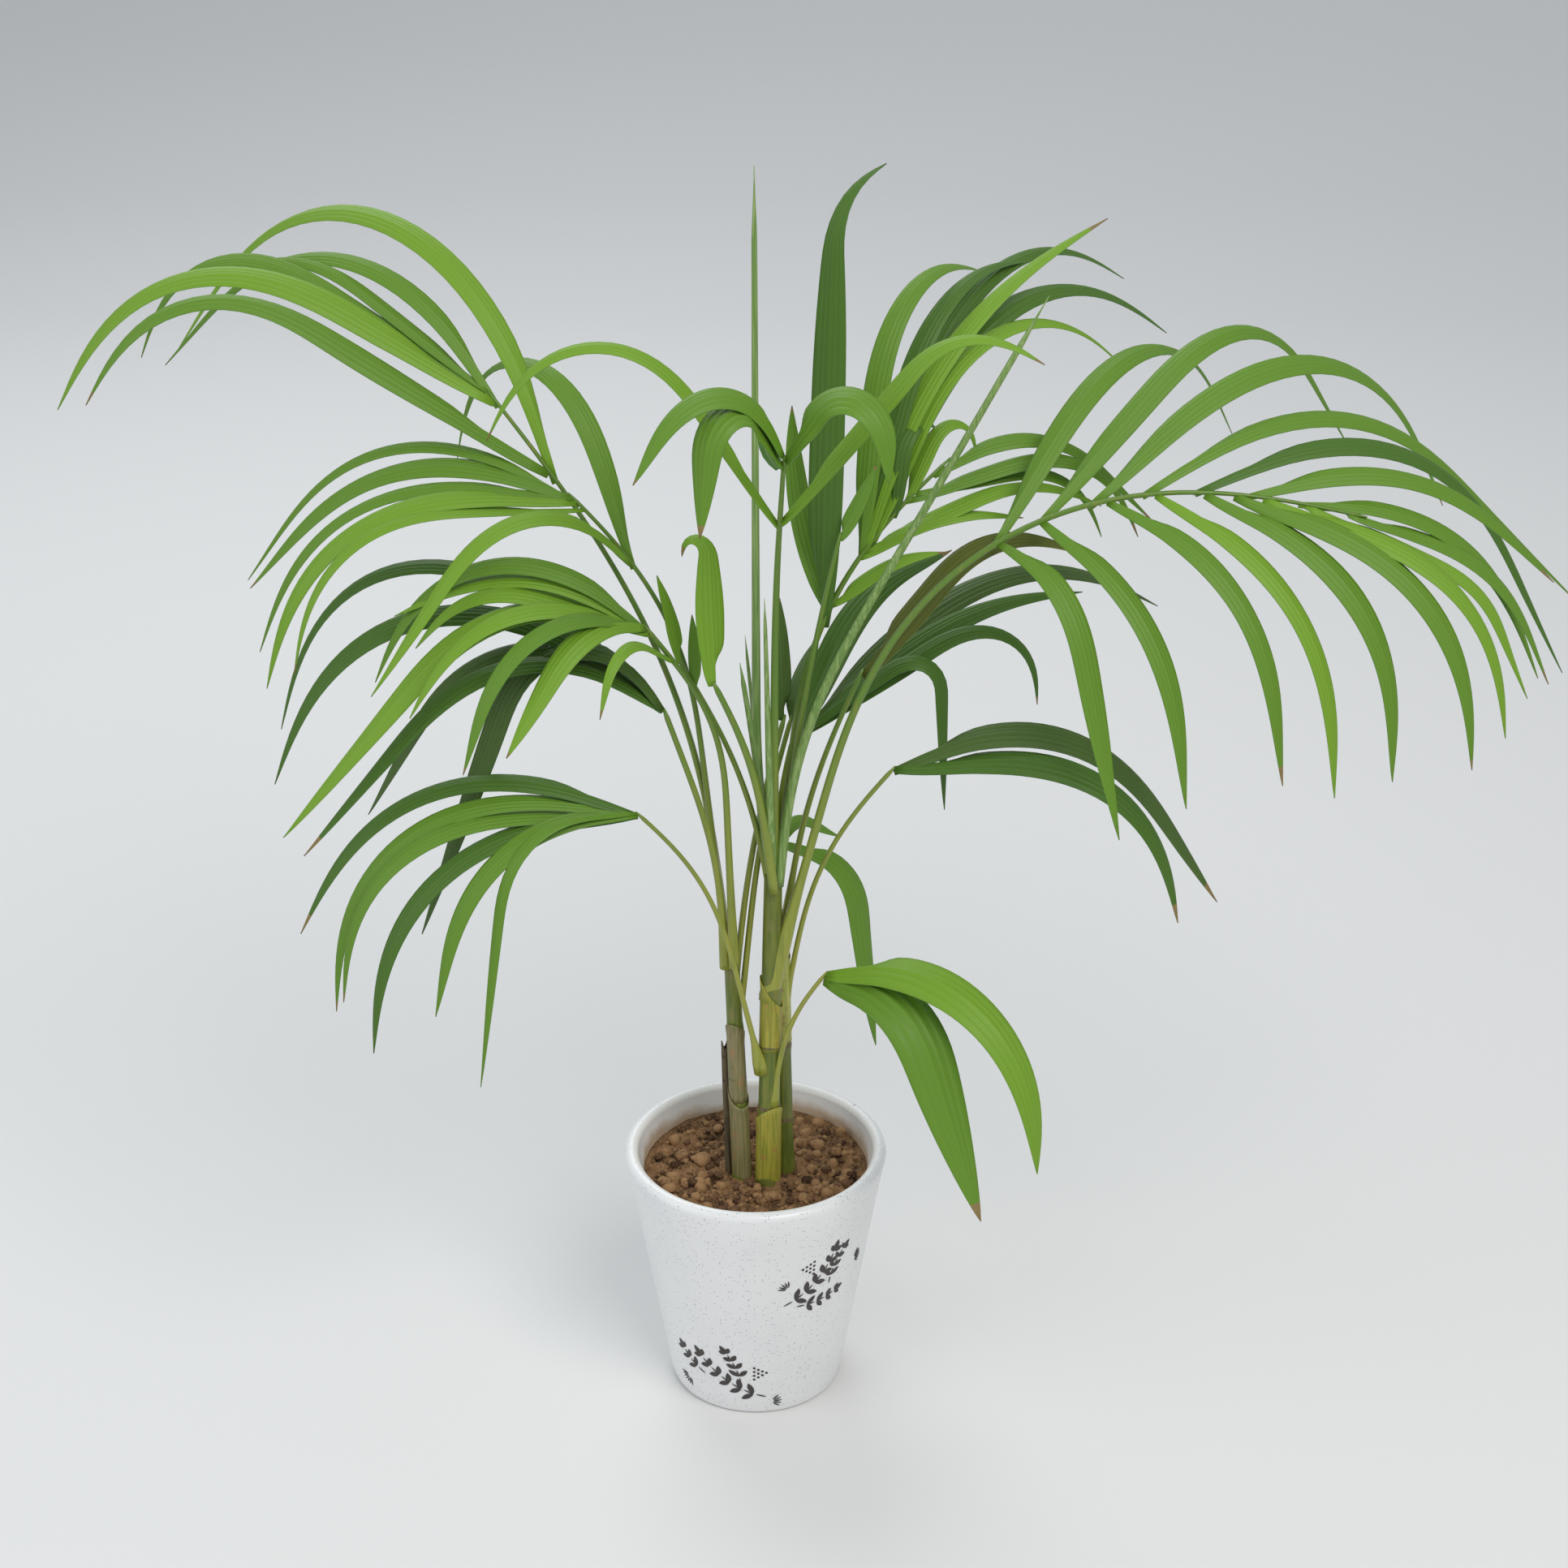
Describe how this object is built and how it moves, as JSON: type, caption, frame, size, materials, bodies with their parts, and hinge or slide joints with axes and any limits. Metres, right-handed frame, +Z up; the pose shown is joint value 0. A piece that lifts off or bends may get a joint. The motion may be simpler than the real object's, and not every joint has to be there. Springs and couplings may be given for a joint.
{
  "type": "potted areca palm",
  "caption": "Young areca palm with arching feathery fronds on cane-like stems, standing in a tapered white speckled ceramic pot filled with soil.",
  "frame": {"origin": "centre of the pot's flat underside", "axes": "+Z up along the pot's axis, the palm's front faces -Y, +X to its right"},
  "size_m": [0.8244, 0.3264, 0.7206],
  "materials": {
    "glaze": "white speckled glaze with a satin sheen",
    "soil": "crumbly brown potting soil",
    "stem": "smooth ringed olive-green cane",
    "dry": "dry brown sheath",
    "stalk": "smooth yellow-green leaf stalk",
    "leaf": "mid-green leaf with a soft sheen",
    "dark_leaf": "dark blue-green leaf with a soft sheen"
  },
  "bodies": {
    "root": {"back_dark_frond": "dark_leaf", "back_dark_stalk": "stalk", "back_frond": "leaf", "back_low_frond": "leaf", "back_narrow_frond": "dark_leaf", "back_narrow_stalk": "stalk", "back_stalk": "stalk", "dead_sheath": "dry", "front_frond": "leaf", "front_stalk": "stalk", "leaning_spear": "leaf", "left_dark_frond": "dark_leaf", "left_dark_stalk": "stalk", "left_fan_frond": "leaf", "left_fan_stalk": "stalk", "left_high_frond": "leaf", "left_high_stalk": "stalk", "left_inner_frond": "leaf", "left_inner_stalk": "stalk", "left_light_frond": "leaf", "left_light_stalk": "stalk", "left_low_frond": "leaf", "left_low_stalk": "stalk", "little_frond": "leaf", "little_stalk": "stalk", "middle_young_frond": "leaf", "middle_young_stalk": "stalk", "pot": "glaze", "right_big_frond": "leaf", "right_big_stalk": "stalk", "right_fan_frond": "dark_leaf", "right_low_frond": "leaf", "right_low_stalk": "stalk", "right_mid_frond": "dark_leaf", "right_mid_stalk": "stalk", "right_olive_frond": "leaf", "right_olive_stalk": "stalk", "short_spear_left": "leaf", "short_spear_middle": "leaf", "short_spear_right": "leaf", "soil": "soil", "stem_left": "stem", "stem_middle": "stem", "stem_right": "stem", "tall_spear": "leaf"}
  },
  "joints": []
}
